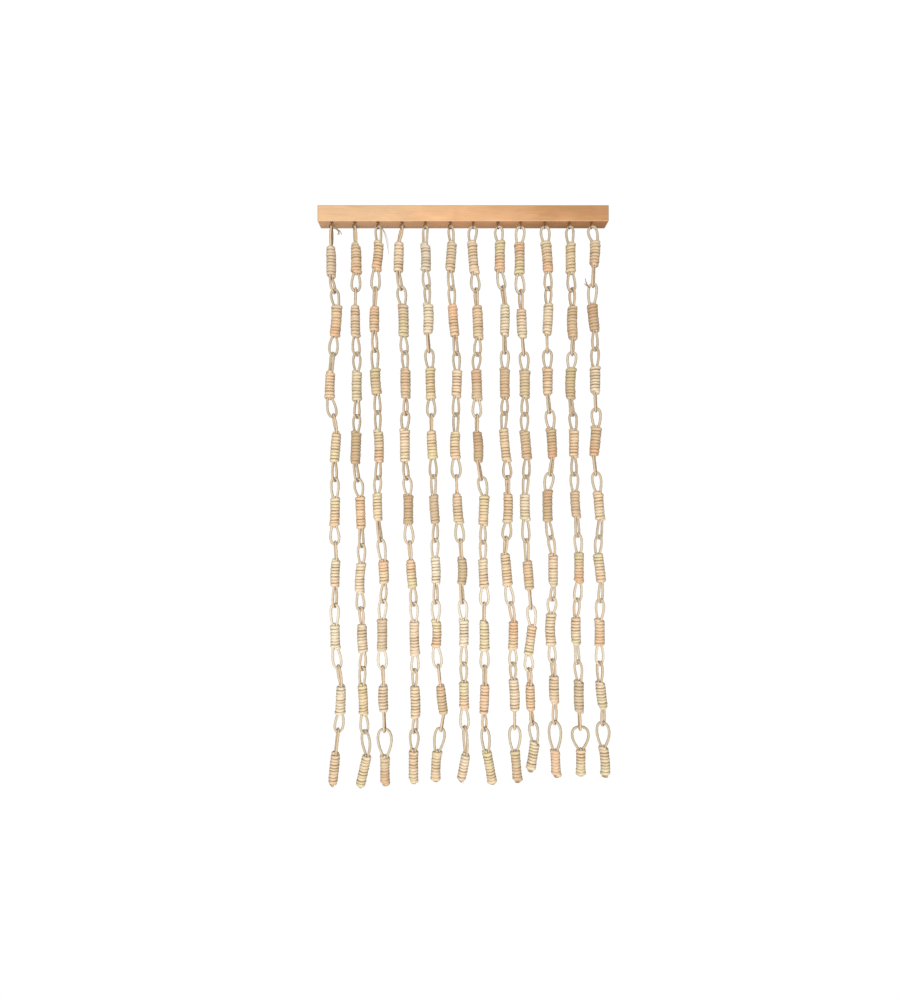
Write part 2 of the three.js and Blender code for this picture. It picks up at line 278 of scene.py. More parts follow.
class CurtainStageSettings(bpy.types.PropertyGroup):
    """Camera, light and floor."""

    camera_place: FloatVectorProperty(
        name="Camera", description="Where the camera stands", subtype="TRANSLATION", size=3,
        default=(-0.041, -1.823, -0.8938))
    lens: FloatProperty(
        name="Lens", description="Focal length in millimetres", default=20.5)
    key_place: FloatVectorProperty(
        name="Key light place", description="Where the soft front light stands",
        subtype="TRANSLATION", size=3, default=(-0.35, -3.3, -1.0))
    key_size: length_setting("Key light size", "Side of the soft front light", 1.2)
    key_power: FloatProperty(
        name="Key light power", description="Power of the soft front light in watts", default=160)
    room: FloatProperty(
        name="Room light", description="Strength of the even light from all round", default=0.2)
    screen: FloatProperty(
        name="Screen", description="Strength of the white screen far behind the curtain", default=1.02)
    floor_drop: length_setting("Floor", "How far the floor lies below the bar", 2.52)
    floor_side: length_setting("Floor side", "Side of the square floor in front of the wall", 4.0)
    floor_pale: colour_setting("Floor colour", "Colour of the floor", (0.8, 0.8, 0.79))
    screen_edge: FloatVectorProperty(
        name="Screen edge",
        description="Cosines of the angles from straight back between which the screen fades",
        size=2, default=(0.40, 0.62))


# Small tools for meshes

def activate(piece):
    bpy.ops.object.select_all(action="DESELECT")
    piece.select_set(True)
    bpy.context.view_layer.objects.active = piece


def apply_place(piece):
    activate(piece)
    bpy.ops.object.transform_apply(location=True, rotation=True, scale=True)


def hand_over(piece, slot, material, *nodes):
    """Gives a finished piece its finish and its body, and hides the solids that it stands for."""
    piece.data.materials.clear()
    piece.data.materials.append(material)
    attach(piece, "root")
    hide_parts(*nodes)


def numbered(stem, index):
    return f"{stem}_{index + 1:02d}"


# Small tools for finishes

class Finish:
    """A material and the nodes that are laid in it."""

    NOISE_RANGE = (0.3, 0.7)

    def __init__(self, name):
        self.material = bpy.data.materials.new(name)
        self.material.use_nodes = True
        self.tree = self.material.node_tree
        self.shader = next(n for n in self.tree.nodes if n.type == "BSDF_PRINCIPLED")

    def put(self, socket, value):
        if isinstance(value, bpy.types.NodeSocket):
            self.tree.links.new(value, socket)
        else:
            socket.default_value = value

    def node(self, kind, values=None, **settings):
        made = self.tree.nodes.new(kind)
        for name, value in settings.items():
            setattr(made, name, value)
        for name, value in (values or {}).items():
            self.put(made.inputs[name], value)
        return made

    def attribute(self, name):
        read = self.node("ShaderNodeAttribute", attribute_name=name)
        return read.outputs["Vector"]

    def parts(self, vector):
        split = self.node("ShaderNodeSeparateXYZ", {0: vector})
        return split.outputs["X"], split.outputs["Y"], split.outputs["Z"]

    def scaled(self, vector, scale, place=(0, 0, 0)):
        values = {"Vector": vector, "Scale": scale, "Location": place}
        return self.node("ShaderNodeMapping", values).outputs[0]

    def noise(self, vector, scale, detail=3.0, roughness=0.55, distortion=0.0):
        values = {"Vector": vector, "Scale": scale, "Detail": detail, "Roughness": roughness,
                  "Distortion": distortion}
        return self.node("ShaderNodeTexNoise", values).outputs["Fac"]

    def ranged(self, value, low, high, to_low=0.0, to_high=1.0):
        values = {"Value": value, "From Min": low, "From Max": high, "To Min": to_low, "To Max": to_high}
        return self.node("ShaderNodeMapRange", values).outputs[0]

    def spread(self, noise, to_low, to_high):
        """The usual range of a noise, drawn out between two values."""
        return self.ranged(noise, *self.NOISE_RANGE, to_low, to_high)

    def sums(self, operation, first, second):
        return self.node("ShaderNodeMath", {0: first, 1: second}, operation=operation).outputs[0]

    def mixed(self, share, first, second, blend="MIX"):
        mix = self.node("ShaderNodeMix", data_type="RGBA", blend_type=blend)
        for index, value in ((0, share), (6, first), (7, second)):
            self.put(mix.inputs[index], value)
        return mix.outputs[2]

    def bumped(self, height, strength, distance):
        values = {"Height": height, "Strength": strength, "Distance": distance}
        self.put(self.shader.inputs["Normal"], self.node("ShaderNodeBump", values).outputs[0])

    def shade(self, name, value):
        self.put(self.shader.inputs[name], value)


def opaque(colour):
    return (*colour, 1.0)


def cord_finish(look):
    finish = Finish("natural_cord_fibre")
    along = finish.attribute("cord_space")
    warm, bleach, groove = finish.parts(finish.attribute("cord_tone"))
    lengthwise = finish.scaled(along, (26, 620, 620))
    streak = finish.noise(lengthwise, 1.0, 4.0, 0.6)
    blotch = finish.noise(along, 34.0, 3.0)
    hair = finish.noise(finish.scaled(along, (70, 2400, 2400)), 1.0, 2.0)

    warmth = finish.sums("ADD", warm, finish.spread(blotch, -0.16, 0.16))
    cool_half = finish.mixed(finish.ranged(warmth, 0.0, 0.5), opaque(look.olive), opaque(look.tan))
    colour = finish.mixed(finish.ranged(warmth, 0.5, 1.0), cool_half, opaque(look.orange))
    colour = finish.mixed(finish.ranged(bleach, 0.0, 1.0), colour, opaque(look.pale))
    colour = finish.mixed(finish.ranged(bleach, 1.0, 2.0), colour, opaque(look.grey))
    shade = finish.ranged(streak, 0.3, 0.72, 0.74, 1.1)
    colour = finish.mixed(1.0, colour, shade, "MULTIPLY")
    # The groove tone darkens the cord toward the groove colour: painted shade between the turns, in the coil
    # mouths and on the loops, with soil and dust
    depth = finish.ranged(groove, CLEAN, 1.0, 0.0, 0.92)
    colour = finish.mixed(depth, colour, opaque(look.groove))
    finish.shade("Base Color", colour)
    finish.shade("Roughness", finish.spread(streak, 0.92, 0.74))
    finish.shade("Sheen Weight", 0.04)
    finish.shade("Sheen Roughness", 0.5)
    finish.shade("Specular IOR Level", 0.15)
    height = finish.sums("ADD", streak, finish.sums("MULTIPLY", hair, 0.4))
    finish.bumped(height, 0.55, 0.0012)
    return finish.material


def bar_finish(look):
    finish = Finish("pale_planed_wood")
    place = finish.node("ShaderNodeTexCoord").outputs["Object"]
    x, y, z = finish.parts(place)
    grain = finish.noise(finish.scaled(place, (7, 90, 90)), 1.0, 5.0, 0.6, 1.2)
    blotch = finish.noise(finish.scaled(place, (11, 34, 34)), 1.0, 3.0, 0.6, 0.8)
    pores = finish.noise(finish.scaled(place, (14, 620, 620)), 1.0, 3.0, 0.6)
    cloud = finish.noise(finish.scaled(place, (5, 14, 14)), 1.0, 2.0)
    rings = finish.node(
        "ShaderNodeTexWave",
        {"Vector": finish.scaled(place, (0.6, 1, 1), (0, 0.07, 0.05)), "Scale": 42.0, "Distortion": 1.2,
         "Detail": 2.0, "Detail Scale": 1.4},
        wave_type="RINGS", rings_direction="X").outputs["Fac"]

    # Light at the left end, dark at the right: partly the wood's own colour, partly painted light that falls
    # off to the right
    drift = finish.sums("ADD", x, finish.spread(cloud, -0.1, 0.1))
    colour = finish.mixed(finish.ranged(drift, -0.3, 0.0), opaque(look.light), opaque(look.amber))
    colour = finish.mixed(finish.ranged(drift, 0.05, 0.35), colour, opaque(look.dark))
    shade = finish.spread(grain, 0.92, 1.05)
    shade = finish.sums("MULTIPLY", shade, finish.spread(blotch, 0.92, 1.06))
    shade = finish.sums("MULTIPLY", shade, finish.spread(pores, 0.93, 1.04))
    shade = finish.sums("MULTIPLY", shade, finish.ranged(rings, 0.0, 1.0, 0.97, 1.02))
    colour = finish.mixed(1.0, colour, shade, "MULTIPLY")

    # Painted shade with some grime greys the top front edge, a painted highlight lightens the lower front
    # edge, painted shade tints the underside, and both ends are darker
    top = finish.ranged(z, *(BAR_HIGH.z - inset for inset in EDGE_BAND))
    front = finish.ranged(y, *(BAR_LOW.y + inset for inset in EDGE_BAND))
    grey = finish.sums("MULTIPLY", finish.sums("MULTIPLY", top, front), finish.spread(cloud, 0.5, 0.95))
    colour = finish.mixed(grey, colour, opaque(look.edge))
    # Painted highlight along the lower front edge, where the eased edge catches the light
    foot = finish.ranged(z, *(BAR_LOW.z + inset for inset in LIT_FOOT_EDGE))
    foot_highlight = finish.sums("MULTIPLY", finish.sums("MULTIPLY", foot, front), 0.45)
    colour = finish.mixed(foot_highlight, colour, opaque(look.light))
    # Painted shade on the underside
    below = finish.ranged(z, *(BAR_LOW.z + inset for inset in UNDERSIDE))
    colour = finish.mixed(below, colour, opaque(look.under), "MULTIPLY")
    from_middle = finish.node("ShaderNodeMath", {0: x}, operation="ABSOLUTE").outputs[0]
    end_darkening = finish.ranged(from_middle, *(BAR_HIGH.x - inset for inset in DARKER_END), 0.0, 0.85)
    colour = finish.mixed(end_darkening, colour, opaque(look.edge))
    finish.shade("Base Color", colour)
    finish.shade("Roughness", finish.spread(grain, 0.72, 0.6))
    finish.shade("Specular IOR Level", 0.0)
    finish.bumped(finish.sums("ADD", grain, finish.sums("MULTIPLY", pores, 0.5)), 0.25, 0.0006)
    return finish.material


def eye_finish(look):
    finish = Finish("browned_wire")
    place = finish.node("ShaderNodeTexCoord").outputs["Object"]
    tarnish = finish.noise(place, 420.0, 4.0, 0.6)
    deep = tuple(0.45 * part for part in look.brown)
    colour = finish.mixed(finish.ranged(tarnish, 0.35, 0.7), opaque(look.brown), opaque(deep))
    finish.shade("Base Color", colour)
    finish.shade("Metallic", 0.75)
    finish.shade("Roughness", finish.spread(tarnish, 0.38, 0.62))
    finish.bumped(tarnish, 0.2, 0.0003)
    return finish.material


# Cords as joined meshes

def unit(vectors):
    return vectors / np.linalg.norm(vectors, axis=-1, keepdims=True)


def eased(share):
    share = np.clip(share, 0, 1)
    return share * share * (3 - 2 * share)


def wander(draw, share, reach, waves):
    """A smooth uneven line of about that reach, with that many waves over the shares 0 to 1."""
    line = np.zeros_like(share)
    for strength, faster in ((0.6, 1.0), (0.4, 2.3), (0.25, 4.1)):
        line += strength * np.sin(FULL_TURN * (waves * faster * share + draw.random()))
    return reach * line


def resampled(path, step):
    """The same line in equal steps of about that length."""
    run = np.concatenate(((0,), np.cumsum(np.linalg.norm(np.diff(path, axis=0), axis=1))))
    even = np.linspace(0, run[-1], max(4, round(run[-1] / step)) + 1)
    return np.column_stack([np.interp(even, run, path[:, k]) for k in range(3)])


class CordMesh:
    """Points, faces and surface values of all the cord in one strand."""

    CAP_ANGLES = np.radians((82.0, 45.0))
    TWIST = 210.0
    PLY_RELIEF = 0.045

    def __init__(self):
        self.points = []
        self.faces = []
        self.space = []
        self.tone = []
        self.count = 0

    def tube(self, path, out, half_out, half_side, tones, start, sides):
        """Adds a closed cord along a path. out points to the side of the section at angle 0, and tones
        gives warm, bleach and groove for each step and section angle."""
        steps = len(path)
        along = unit(np.gradient(path, axis=0))
        side = unit(np.cross(along, out))
        out = np.cross(side, along)
        half_out = np.broadcast_to(half_out, steps)
        half_side = np.broadcast_to(half_side, steps)
        run = np.concatenate(((0,), np.cumsum(np.linalg.norm(np.diff(path, axis=0), axis=1))))

        # Rounded ends are rings that draw in past the first and the last step
        cap = self.CAP_ANGLES
        order = np.concatenate((np.zeros(len(cap), int), np.arange(steps), np.full(len(cap), steps - 1)))
        draw_in = np.concatenate((np.cos(cap), np.ones(steps), np.cos(cap[::-1])))
        push = np.concatenate((-np.sin(cap), np.zeros(steps), np.sin(cap[::-1])))
        centre = path[order] + along[order] * (push * half_out[order])[:, None]
        angle = FULL_TURN * np.arange(sides) / sides
        twist = (run[order] + start)[:, None] * self.TWIST
        ply = 1 + self.PLY_RELIEF * np.cos(2 * (angle - twist))
        reach_out = (half_out[order] * draw_in)[:, None] * np.cos(angle) * ply
        reach_side = (half_side[order] * draw_in)[:, None] * np.sin(angle) * ply
        points = (centre[:, None] + out[order][:, None] * reach_out[..., None]
                  + side[order][:, None] * reach_side[..., None])

        rings = len(order)
        radius = half_out.mean()
        length = np.broadcast_to((run[order] + start)[:, None], (rings, sides))
        space = np.stack((length, radius * np.cos(angle + twist), radius * np.sin(angle + twist)), axis=-1)
        tone = tones(run[order] / run[-1], np.broadcast_to(angle, (rings, sides)))

        ring = self.count + sides * np.arange(rings - 1)[:, None]
        here = np.arange(sides)
        after = (here + 1) % sides
        quads = np.stack((ring + here, ring + after, ring + sides + after, ring + sides + here), axis=-1)
        self.faces.extend(quads.reshape(-1, 4).tolist())
        self.faces.append((self.count + here[::-1]).tolist())
        self.faces.append((self.count + sides * (rings - 1) + here).tolist())
        self.points.append(points.reshape(-1, 3))
        self.space.append(space.reshape(-1, 3))
        self.tone.append(np.stack(tone, axis=-1).reshape(-1, 3))
        self.count += rings * sides

    def piece(self, name):
        mesh = bpy.data.meshes.new(name)
        mesh.from_pydata(np.concatenate(self.points).tolist(), [], self.faces)
        for title, values in (("cord_space", self.space), ("cord_tone", self.tone)):
            kept = mesh.attributes.new(title, "FLOAT_VECTOR", "POINT")
            kept.data.foreach_set("vector", np.concatenate(values).astype(np.float32).ravel())
        mesh.validate()
        made = bpy.data.objects.new(name, mesh)
        bpy.context.scene.collection.objects.link(made)
        activate(made)
        bpy.ops.object.shade_smooth()
        return made


def even_tones(warm, bleach, groove):
    """Tones of a cord that looks the same all over."""
    def tones(share, angle):
        flat = np.ones_like(angle)
        return warm * flat, bleach * flat, groove * flat
    return tones


def hang(row, index):
    """Coil tops, coil bottoms and joints of a strand, in metres."""
    table = {name: np.array(row[name]) * MM for name in ("head", "foot", "lower", "coil")}
    hook = row["hook"] * MM
    ends = np.arange(2 * LINKS)
    sway = HOOK_Y + DEPTH_SWAY * np.sin(SWAY_PER_END * ends + SWAY_PER_STRAND * index)
    top = -FIRST_COIL_DROP - LINK_PITCH * np.arange(LINKS) - table["lower"]
    heads = np.column_stack((hook + table["head"], sway[0::2], top))
    feet = np.column_stack((hook + table["foot"], sway[1::2], top - table["coil"]))
    share = np.full(LINKS - 1, 0.5)
    share[-1] = LAST_JOINT_AT
    between = feet[:-1] + (heads[1:] - feet[:-1]) * share[:, None]
    return heads, feet, between


def facing(degrees, along):
    """Normal of a loop whose width points that many degrees round from the bar's length."""
    angle = math.radians(degrees)
    return unit(np.cross((math.cos(angle), math.sin(angle), 0.0), along))


class Link:
    """One link of a strand: two loops and the coil wound round their legs."""

    # Loops: how far their legs reach into the coil, and how square and crooked they are
    INSIDE = 0.016
    INNER_HALF = 0.0038
    LOOP_POINTS = 24
    LOOP_STEP = 0.0032
    LOOP_SQUARE = (0.78, 1.0)
    LOOP_LEAN = 0.0016
    LOOP_WAVES = 3
    TIP_HALF = 0.0058

    # Coils: how the turns are pressed, laid level at the front and tucked in at both ends
    FEWEST_TURNS = 4
    OVERLAP = 1.18
    FLATTEN = 0.92
    FLAT_TURN = 0.3
    LEVEL_FRONT = (0.5, 1.3)
    LEVEL_FADE = 0.6
    TUCK = 0.0065
    TUCK_TURN = 0.16
    TUCK_CLIMB = 0.2
    TUCK_THIN = 0.3
    SPOKE_GUIDE = (0.3, 1.0, 0.1)

    # Coils: how thick they are, how the legs spread them, and how uneven they lie
    GIRTH = 1.045
    GIRTH_LOSS = 0.055
    GIRTH_SPREAD = 0.05
    SPREAD = 0.0022
    SPREAD_FADE = 0.008
    BOW = 0.0013
    CLIMB_REACH, CLIMB_WAVES = 0.06, 0.37
    GIRTH_REACH, GIRTH_WAVES = 0.0005, 0.43
    CORD_REACH, CORD_WAVES = 0.05, 0.9

    # Ends of cord that fill a coil's mouth
    PACK_OUT = 0.0048
    PACK_HALF = 0.0036
    PACK_SUNK = 0.0004
    PACK_POINTS = 5
    PACK_SHADE = 0.3

    # Stray fibres
    FIBRE_LENGTH = (0.005, 0.014)
    FIBRE_HALF = (0.00018, 0.0004)
    FIBRE_ROOT = 0.8
    FIBRE_LIFT = (0.25, 0.8)
    FIBRE_CURL = 0.25
    FIBRE_DROOP = 0.2
    FIBRE_TAPER = 0.75
    FIBRE_WARM = (0.2, 0.7)
    FIBRE_TONE = (0.3, 0.3)
    FIBRE_POINTS = 6
    FIBRE_SIDES = 3

    # Places in the cord's pattern, in metres of cord
    PATTERN = 4
    COIL_START = 0.3

    # How much painted shade and soil a link has by its height, most about a third of the way down and least
    # three quarters down, and the tones that follow from that or from height.
    # Each tone has an even part, a part that follows, a spread from link to link, and its lowest and highest
    SHADE_AND_SOIL_HEIGHTS = (0.0, 0.35, 0.75, 1.0)
    SHADE_AND_SOIL_BY_HEIGHT = (0.55, 1.0, 0.05, 0.6)
    WARM = (0.62, -0.2, 0.32, 0, 1)
    BLEACH = (0.45, -0.42, 0.27, 0, 0.8)
    GREYED = (1.1, 0.9, 0.35, 0.5, 2)
    SOIL_AND_SHADE = (-0.14, 0.24, 0.3, -0.1, 0.6)

    # Tones of a loop: painted contact shade with some soil at its crown, where it hangs in the next loop;
    # painted shade on its flanks as seen from the front and on loops seen edge-on, which are also less grey;
    # painted shadow at its roots in the coil; and soil at a strand's tip
    LOOP_WARM = 0.6
    CROWN_SHADE_AND_SOIL = 0.75
    CROWN_REACH = 0.06
    TIP_SOIL = 1.1
    TIP_REACH = 0.25
    FLANK_SHADE = (0.42, 0.62)
    FLANK_SHADE_GREY = 1.4
    EDGE_BLEACH = 0.2
    EDGE_ON_SHADE = 0.1
    ROOT_SHADE = 0.4
    ROOT_DEPTH = 0.85
    ROOT_FADE = 0.6

    # Painted shade, with some dust, in the lines between a coil's turns, and painted shade on the turns'
    # hidden inner half
    LINE_SHADE_AND_DUST = (0.3, 3.2)
    LINE_PATCHES = 2
    LINE_EDGE = 3.5
    LINE_END = 0.6
    LINE_END_SHADE_AND_DUST = 0.15
    INNER_SHADE = 0.4

    def __init__(self, cords, cord, draw, head, foot, down):
        self.cords = cords
        self.cord = cord
        self.draw = draw
        self.head = head
        self.foot = foot
        self.axis = unit(head - foot)
        chance = draw.random()
        self.start = chance * self.PATTERN
        self.girth = self.GIRTH - self.GIRTH_LOSS * down + self.GIRTH_SPREAD * (2 * chance - 1)
        self.warm_top, self.warm_foot = self.drawn_tone(self.WARM, down, 2)
        # Painted light and shade, with some soil, by height: the link's bleach, grey and soil follow it
        shade_and_soil_by_height = np.interp(down, self.SHADE_AND_SOIL_HEIGHTS, self.SHADE_AND_SOIL_BY_HEIGHT)
        self.bleach = self.drawn_tone(self.BLEACH, shade_and_soil_by_height)
        self.greyed = self.drawn_tone(self.GREYED, shade_and_soil_by_height)
        self.soil_and_shade = self.drawn_tone(self.SOIL_AND_SHADE, shade_and_soil_by_height)
        # Painted shade on the loops' flanks, stronger where the link is darker by height
        even, follow = self.FLANK_SHADE
        self.flank_shade = even + follow * shade_and_soil_by_height

    def drawn_tone(self, tone, share, count=None):
        """One tone of this link, or a few of them, drawn as its row of values says."""
        even, follow, spread, lowest, highest = tone
        return np.clip(even + follow * share + spread * self.draw.normal(size=count), lowest, highest)

    def loop(self, root, inward, crown, normal, width, root_half,
             soil_and_shade=CROWN_SHADE_AND_SOIL, soil_reach=CROWN_REACH):
        """Cord from inside the coil round the loop's crown and back into the coil."""
        cord, draw = self.cord, self.draw
        along = crown - root
        side = unit(np.cross(along, normal))
        reach = width / 2 - cord.radius
        square = draw.uniform(*self.LOOP_SQUARE)
        rise = np.linspace(0, 1, self.LOOP_POINTS)[:-1]
        inside_side = self.INNER_HALF + (root_half - self.INNER_HALF) * eased(rise)
        leg_side = root_half + (reach - root_half) * np.sin(rise * math.pi / 2)
        arc = np.linspace(math.pi / 2, 0, self.LOOP_POINTS)
        top_side = reach * np.sin(arc) ** square
        top_along = WIDEST_AT + (1 - WIDEST_AT) * np.cos(arc) ** square
        across = np.concatenate((inside_side, leg_side, top_side))
        share = np.concatenate((np.zeros(len(rise)), WIDEST_AT * rise, top_along))
        inside = np.concatenate((self.INSIDE * (1 - rise), np.zeros(len(rise) + len(arc))))
        lean = draw.normal() * self.LOOP_LEAN
        halves = []
        for way in (1, -1):
            half = root + share[:, None] * along + inside[:, None] * inward
            half = half + (way * across)[:, None] * side
            half = half + (way * lean * np.sin(math.pi * share))[:, None] * normal
            halves.append(half)
        path = np.concatenate((halves[0], halves[1][-2::-1]))
        path = resampled(path, self.LOOP_STEP)
        run = np.linspace(0, 1, len(path))
        radius = cord.radius * (1 + wander(draw, run, self.CORD_REACH, self.LOOP_WAVES))
        buried = self.INSIDE / np.linalg.norm(np.diff(path, axis=0), axis=1).sum()
        open_front = (normal @ FRONT) ** 2
        greyed = self.EDGE_BLEACH + (self.greyed - self.EDGE_BLEACH) * open_front
        # Painted shade: loops seen edge-on from the front are a little darker all over
        face_shade = CLEAN + self.EDGE_ON_SHADE * (1 - open_front)

        def tones(share, angle):
            depth = np.minimum(share, 1 - share) / buried
            # Painted shadow where the loop's legs go into the coil
            shadow = self.ROOT_SHADE * (1 - eased((depth - self.ROOT_DEPTH) / self.ROOT_FADE))
            # Painted contact shade with some soil at the crown, where the loop hangs in the next one; at a
            # strand's tip, the tip's soil
            crown_soil_and_shade = soil_and_shade * np.exp(-((share - 0.5) / soil_reach) ** 2)
            # Painted shade on the cord's flanks as seen from the front, where the cord is also less grey
            flank = open_front * np.sin(angle) ** 2 + (1 - open_front) * np.cos(angle) ** 2
            groove = np.maximum(np.maximum(shadow, crown_soil_and_shade)[:, None], face_shade + self.flank_shade * flank)
            warm = self.LOOP_WARM * np.ones_like(angle)
            bleach = greyed + (min(greyed, self.FLANK_SHADE_GREY) - greyed) * flank
            return warm, bleach, groove

        normals = np.broadcast_to(normal, path.shape)
        self.cords.tube(path, normals, radius, radius, tones, self.start, cord.sides)

    def coil(self, head_side, foot_side, tip):
        """Cord wound in touching turns round the legs, with both its ends tucked in."""
        cord, draw = self.cord, self.draw
        low = tip
        high = np.linalg.norm(self.head - self.foot)
        fitting = (high - low - cord.turn_pitch) / cord.turn_pitch + 2 * self.FLAT_TURN
        turns = max(self.FEWEST_TURNS, round(fitting, 1))
        pitch = (high - low) / (turns - 2 * self.FLAT_TURN + 1)
        share = np.linspace(0, 1, round(turns * cord.steps) + 1)
        turn = share * turns
        climb = np.clip((turn - self.FLAT_TURN) / (turns - 2 * self.FLAT_TURN), 0, 1)
        height = low + pitch / 2 + climb * (high - low - pitch)
        height = height + wander(draw, share, self.CLIMB_REACH * pitch, turns * self.CLIMB_WAVES)
        from_end = np.minimum(turn, turns - turn)
        tucked = 1 - eased(from_end / self.TUCK_TURN)
        toward = np.where(turn < turns / 2, 1, -1)
        height = height + toward * tucked * self.TUCK_CLIMB * pitch

        thick = cord.radius
        angle = FULL_TURN * (turn + draw.random())
        spoke_one = unit(np.cross(self.axis, self.SPOKE_GUIDE))
        spoke_two = np.cross(self.axis, spoke_one)
        out = np.cos(angle)[:, None] * spoke_one + np.sin(angle)[:, None] * spoke_two
        radius = self.girth * cord.coil_radius - self.FLATTEN * thick - self.TUCK * tucked
        radius = radius + wander(draw, share, self.GIRTH_REACH, turns * self.GIRTH_WAVES)
        for side, gap in ((head_side, high - height), (foot_side, height - low)):
            lean = 2 * (out @ side) ** 2 - 1
            radius = radius + self.SPREAD * lean * np.exp(-np.abs(gap - pitch / 2) / self.SPREAD_FADE)
        steep = (high - low - pitch) / (turns - 2 * self.FLAT_TURN) / FULL_TURN
        level = draw.uniform(*self.LEVEL_FRONT) * steep * (out @ np.cross(FRONT, self.axis))
        height = height + level * np.clip(from_end / self.LEVEL_FADE, 0, 1)
        bow = draw.normal(size=2) * self.BOW
        bent = np.sin(math.pi * height / high)[:, None] * (bow[0] * spoke_one + bow[1] * spoke_two)
        path = self.foot + height[:, None] * self.axis + radius[:, None] * out + bent
        half_side = pitch / 2 * self.OVERLAP * (1 - self.TUCK_THIN * tucked)
        uneven = wander(draw, share, self.CORD_REACH, turns * self.CORD_WAVES)
        half_out = self.FLATTEN * thick * (1 + uneven)
        lines = draw.uniform(*self.LINE_SHADE_AND_DUST, self.LINE_PATCHES * math.ceil(turns) + 1)

        def tones(share, angle):
            up = np.interp(share, np.linspace(0, 1, len(climb)), climb)
            warm = self.warm_foot + (self.warm_top - self.warm_foot) * eased(up)
            # Painted shade, with some dust, where the turns meet, fading near the coil's ends; painted shade
            # on the turns' inner half
            line = np.interp(share * turns * self.LINE_PATCHES, np.arange(len(lines)), lines)[:, None]
            edge = np.minimum(self.OVERLAP * np.abs(np.sin(angle)), 1) ** self.LINE_EDGE
            to_end = np.where(np.sin(angle) < 0, (1 - share[:, None]) * turns, share[:, None] * turns)
            line = line * np.clip(to_end - self.LINE_END, self.LINE_END_SHADE_AND_DUST, 1)
            dip = np.where(np.cos(angle) > 0, line * edge, self.INNER_SHADE)
            flat = np.ones_like(angle)
            groove = np.maximum(dip, CLEAN + (1 - CLEAN) * self.soil_and_shade)
            return warm[:, None] * flat, self.bleach * flat, groove

        start = self.start + self.COIL_START
        self.cords.tube(path, out, half_out, half_side, tones, start, cord.sides)
        return path, out

    def packing(self, root, inward, normal, soil_and_shade=PACK_SHADE):
        """Ends of the other loop's legs, which fill a coil's mouth before and behind the legs there."""
        depth = np.linspace(self.INSIDE, self.PACK_SUNK, self.PACK_POINTS)
        # A little painted shade in the coil's mouth; at a strand's tip the packing takes the tip's soil
        # instead
        tones = even_tones(self.warm_top, self.bleach, soil_and_shade)
        half, sides = self.PACK_HALF, self.cord.sides
        for way in (1, -1):
            line = root + depth[:, None] * inward + way * self.PACK_OUT * normal
            normals = np.broadcast_to(normal, line.shape)
            self.cords.tube(line, normals, half, half, tones, self.start, sides)

    def fibres(self, path, out):
        """Loose ends of fibre that stand off the wound cord."""
        draw = self.draw
        for _ in range(self.cord.fibres):
            at = draw.integers(len(path) // 10, len(path) * 9 // 10)
            along = unit(path[at + 1] - path[at])
            root = path[at] + out[at] * self.cord.radius * self.FIBRE_ROOT
            length = draw.uniform(*self.FIBRE_LENGTH)
            lead = unit(out[at] * draw.uniform(*self.FIBRE_LIFT) + along * draw.choice((-1, 1)))
            share = np.linspace(0, 1, self.FIBRE_POINTS)
            curl = draw.normal(size=3) * self.FIBRE_CURL - self.FIBRE_DROOP * UP
            path_out = root + length * (share[:, None] * lead + (share ** 2)[:, None] * curl)
            thin = draw.uniform(*self.FIBRE_HALF) * (1 - self.FIBRE_TAPER * share)
            tilt = np.broadcast_to(np.cross(lead, unit(draw.normal(size=3))), path_out.shape)
            tones = even_tones(draw.uniform(*self.FIBRE_WARM), *self.FIBRE_TONE)
            self.cords.tube(path_out, tilt, thin, thin, tones, self.start, self.FIBRE_SIDES)


def loose_end(cords, hook, end, sides):
    """A thin end of cord that tapers as it hangs away from its strand."""
    points = hook + np.array(end["points"]) * MM
    knots = np.linspace(0, 1, len(points))
    share = np.linspace(0, 1, STEPS_PER_POINT * len(points))
    curves = [np.polyfit(knots, line, len(points) - 1) for line in points.T]
    path = np.column_stack([np.polyval(curve, share) for curve in curves])
    half = end["half"] * MM * (1 - LOOSE_TAPER * share)
    fronts = np.broadcast_to(FRONT, path.shape)
    cords.tube(path, fronts, half, half, even_tones(*LOOSE_TONE), 0.0, sides)


def wind_strand(row, index, cord):
    """One strand of nine links as a single mesh."""
    draw = np.random.default_rng(cord.seed * SEED_STEP + index)
    heads, feet, between = hang(row, index)
    cords = CordMesh()
    gap = cord.radius + CROSSING_GAP
    for i in range(LINKS):
        last = i == LINKS - 1
        link = Link(cords, cord, draw, heads[i], feet[i], i / (LINKS - 1))
        if i == 0:
            crown = np.array((row["hook"] * MM, HOOK_Y, FIRST_CROWN_Z))
        else:
            crown = between[i - 1] + gap * UP
        normal = facing(row["turn"][i] + 90, crown - heads[i])
        width = row["mouth"] * MM if last else LOOP_WIDTH
        link.loop(heads[i], -link.axis, crown, normal, width, cord.mouth_half)
        link.packing(heads[i], -link.axis, normal)
        head_side = unit(np.cross(crown - heads[i], normal))
        if last:
            root = feet[i] + cord.tip * link.axis
            link.loop(root, link.axis, feet[i] + cord.radius * link.axis, normal,
                      2 * (link.TIP_HALF + cord.radius), link.TIP_HALF, link.TIP_SOIL, link.TIP_REACH)
            link.packing(root, link.axis, normal, link.TIP_SOIL)
            path, out = link.coil(head_side, head_side, cord.tip)
        else:
            foot_crown = between[i] - gap * UP
            foot_normal = facing(row["turn"][i + 1], foot_crown - feet[i])
            link.loop(feet[i], link.axis, foot_crown, foot_normal, LOOP_WIDTH, cord.mouth_half)
            link.packing(feet[i], link.axis, foot_normal)
            foot_side = unit(np.cross(foot_crown - feet[i], foot_normal))
            path, out = link.coil(head_side, foot_side, 0.0)
        link.fibres(path, out)
    for end in LOOSE_ENDS:
        if end["strand"] == index + 1:
            loose_end(cords, np.array((row["hook"] * MM, HOOK_Y, 0.0)), end, cord.sides)
    return cords.piece(numbered("cord_strand", index))


# Operators

